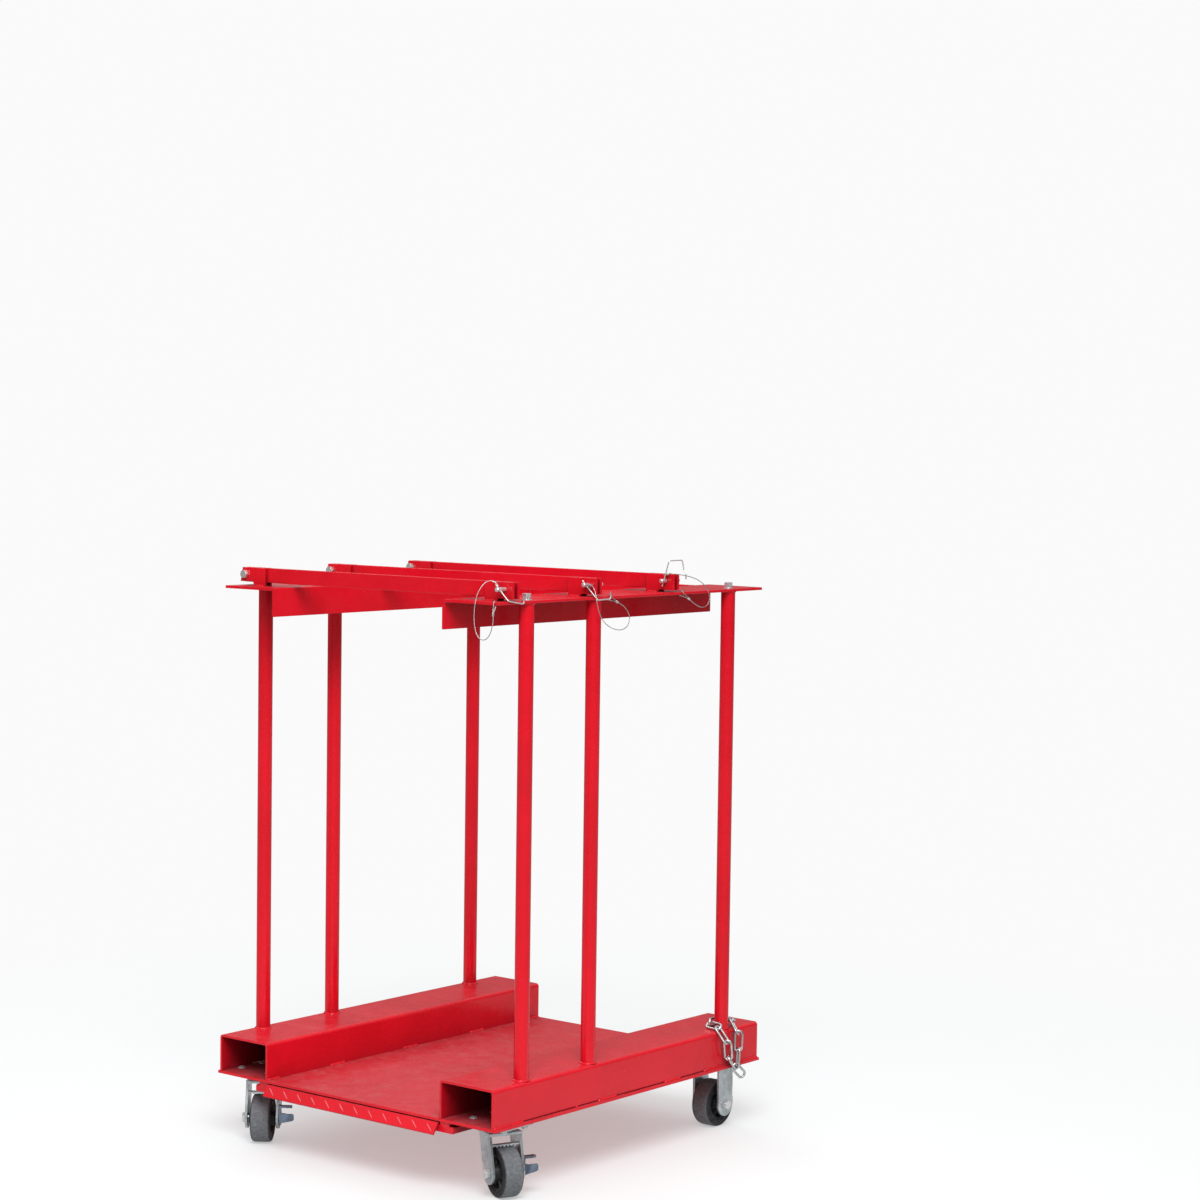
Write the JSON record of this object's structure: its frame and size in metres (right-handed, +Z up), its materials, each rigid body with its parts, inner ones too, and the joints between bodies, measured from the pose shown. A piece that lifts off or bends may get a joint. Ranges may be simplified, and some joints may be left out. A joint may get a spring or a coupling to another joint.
{
  "type": "cylinder storage cart",
  "caption": "Red steel cart for upright gas cylinders: forklift pockets beside a deck, post-carried top shelves, hinged retaining bars with lock pins, pull-out ramp and casters.",
  "frame": {"origin": "on the floor under the centre of the deck", "axes": "+X to the right seen from the loading side, +Y to the rear, +Z up"},
  "size_m": [0.8346, 0.9311, 1.3001],
  "materials": {
    "red_paint": "gloss red powder coat",
    "zinc_plate": "bright zinc plate",
    "wire_rope": "galvanised wire rope",
    "chain_zinc": "bright zinc plate",
    "brake_steel": "blue zinc plate",
    "tyre_rubber": "matt grey-black rubber",
    "hub_black": "matt black"
  },
  "bodies": {
    "frame": {"caster_bolts": "zinc_plate", "caster_nuts": "zinc_plate", "chain_links": "chain_zinc", "chain_quick_link": "chain_zinc", "deck_plate": "red_paint", "kingpins": "zinc_plate", "lanyard_1": "wire_rope", "lanyard_2": "wire_rope", "lanyard_3": "wire_rope", "lanyard_shelf_eyes": "wire_rope", "latch_ears": "red_paint", "left_fork_pocket": "red_paint", "left_posts": "red_paint", "left_top_shelf": "red_paint", "pivot_bolts": "zinc_plate", "pivot_ears": "red_paint", "pivot_nuts": "zinc_plate", "post_top_plugs": "zinc_plate", "ramp_guides": "red_paint", "rear_axles": "zinc_plate", "rear_cross_bar": "red_paint", "right_fork_pocket": "red_paint", "right_posts": "red_paint", "right_top_shelf": "red_paint", "rigid_forks": "zinc_plate", "shelf_bolts": "zinc_plate", "shelf_washers": "zinc_plate", "swivel_plates": "zinc_plate", "swivel_races": "zinc_plate"},
    "front_bar": {"retaining_bar_front": "red_paint"},
    "middle_bar": {"retaining_bar_middle": "red_paint"},
    "rear_bar": {"retaining_bar_rear": "red_paint"},
    "ramp": {"ramp_plate": "red_paint"},
    "pin_1": {"lock_pin_1": "zinc_plate", "lanyard_pin_eye_1": "wire_rope"},
    "pin_2": {"lock_pin_2": "zinc_plate", "lanyard_pin_eye_2": "wire_rope"},
    "pin_3": {"lock_pin_3": "zinc_plate", "lanyard_pin_eye_3": "wire_rope"},
    "bail_1": {"pin_bail_1": "zinc_plate"},
    "bail_2": {"pin_bail_2": "zinc_plate"},
    "bail_3": {"pin_bail_3": "zinc_plate"},
    "swivel_left": {"swivel_fork_left": "zinc_plate", "front_axle_left": "zinc_plate", "front_axle_sleeve_left": "zinc_plate", "brake_strip_left": "zinc_plate"},
    "swivel_right": {"swivel_fork_right": "zinc_plate", "front_axle_right": "zinc_plate", "front_axle_sleeve_right": "zinc_plate", "brake_strip_right": "zinc_plate"},
    "front_wheel_left": {"front_tyre_left": "tyre_rubber", "front_hub_left": "hub_black"},
    "front_wheel_right": {"front_tyre_right": "tyre_rubber", "front_hub_right": "hub_black"},
    "rear_wheel_left": {"rear_tyre_left": "tyre_rubber", "rear_hub_left": "hub_black"},
    "rear_wheel_right": {"rear_tyre_right": "tyre_rubber", "rear_hub_right": "hub_black"},
    "brake_left": {"brake_pedal_left": "brake_steel"},
    "brake_right": {"brake_pedal_right": "brake_steel"}
  },
  "joints": [
    {"name": "front_bar_lift", "type": "hinge", "parent": "frame", "child": "front_bar", "pos_m": [-0.38, -0.3983, 1.254], "axis": [0, -1, 0], "range_deg": [0, 100]},
    {"name": "middle_bar_lift", "type": "hinge", "parent": "frame", "child": "middle_bar", "pos_m": [-0.38, -0.1317, 1.254], "axis": [0, -1, 0], "range_deg": [0, 100]},
    {"name": "rear_bar_lift", "type": "hinge", "parent": "frame", "child": "rear_bar", "pos_m": [-0.38, 0.1349, 1.254], "axis": [0, -1, 0], "range_deg": [0, 100]},
    {"name": "pin_1_pull", "type": "slide", "parent": "frame", "child": "pin_1", "axis": [0, -1, 0], "range_m": [0, 0.035]},
    {"name": "bail_1_swing", "type": "hinge", "parent": "pin_1", "child": "bail_1", "pos_m": [0.373, -0.4253, 1.254], "axis": [0.7314, 0, -0.682], "range_deg": [0, 90]},
    {"name": "pin_2_pull", "type": "slide", "parent": "frame", "child": "pin_2", "axis": [0, -1, 0], "range_m": [0, 0.044]},
    {"name": "bail_2_swing", "type": "hinge", "parent": "pin_2", "child": "bail_2", "pos_m": [0.373, -0.1492, 1.254], "axis": [0.7314, 0, -0.682], "range_deg": [0, 90]},
    {"name": "pin_3_pull", "type": "slide", "parent": "frame", "child": "pin_3", "axis": [0, -1, 0], "range_m": [0, 0.044]},
    {"name": "bail_3_swing", "type": "hinge", "parent": "pin_3", "child": "bail_3", "pos_m": [0.373, 0.1174, 1.254], "axis": [0.309, 0, 0.9511], "range_deg": [0, 90]},
    {"name": "ramp_slide", "type": "slide", "parent": "frame", "child": "ramp", "axis": [0, -1, 0], "range_m": [0, 0.36]},
    {"name": "caster_left_swivel", "type": "hinge", "parent": "frame", "child": "swivel_left", "pos_m": [-0.343, -0.374, 0.12], "axis": [0, 0, 1], "continuous": true},
    {"name": "front_wheel_left_roll", "type": "hinge", "parent": "swivel_left", "child": "front_wheel_left", "pos_m": [-0.32613, -0.39697, 0.0525], "axis": [0.8059, 0.592, 0], "continuous": true},
    {"name": "brake_left_press", "type": "hinge", "parent": "swivel_left", "child": "brake_left", "pos_m": [-0.32613, -0.39697, 0.0525], "axis": [0.8059, 0.592, 0], "range_deg": [0, 25]},
    {"name": "caster_right_swivel", "type": "hinge", "parent": "frame", "child": "swivel_right", "pos_m": [0.343, -0.374, 0.12], "axis": [0, 0, 1], "continuous": true},
    {"name": "front_wheel_right_roll", "type": "hinge", "parent": "swivel_right", "child": "front_wheel_right", "pos_m": [0.36918, -0.38527, 0.0525], "axis": [0.3955, 0.9184, 0], "continuous": true},
    {"name": "brake_right_press", "type": "hinge", "parent": "swivel_right", "child": "brake_right", "pos_m": [0.36918, -0.38527, 0.0525], "axis": [0.3955, 0.9184, 0], "range_deg": [0, 25]},
    {"name": "rear_wheel_left_roll", "type": "hinge", "parent": "frame", "child": "rear_wheel_left", "pos_m": [-0.326, 0.39, 0.0525], "axis": [1, 0, 0], "continuous": true},
    {"name": "rear_wheel_right_roll", "type": "hinge", "parent": "frame", "child": "rear_wheel_right", "pos_m": [0.326, 0.39, 0.0525], "axis": [1, 0, 0], "continuous": true}
  ]
}
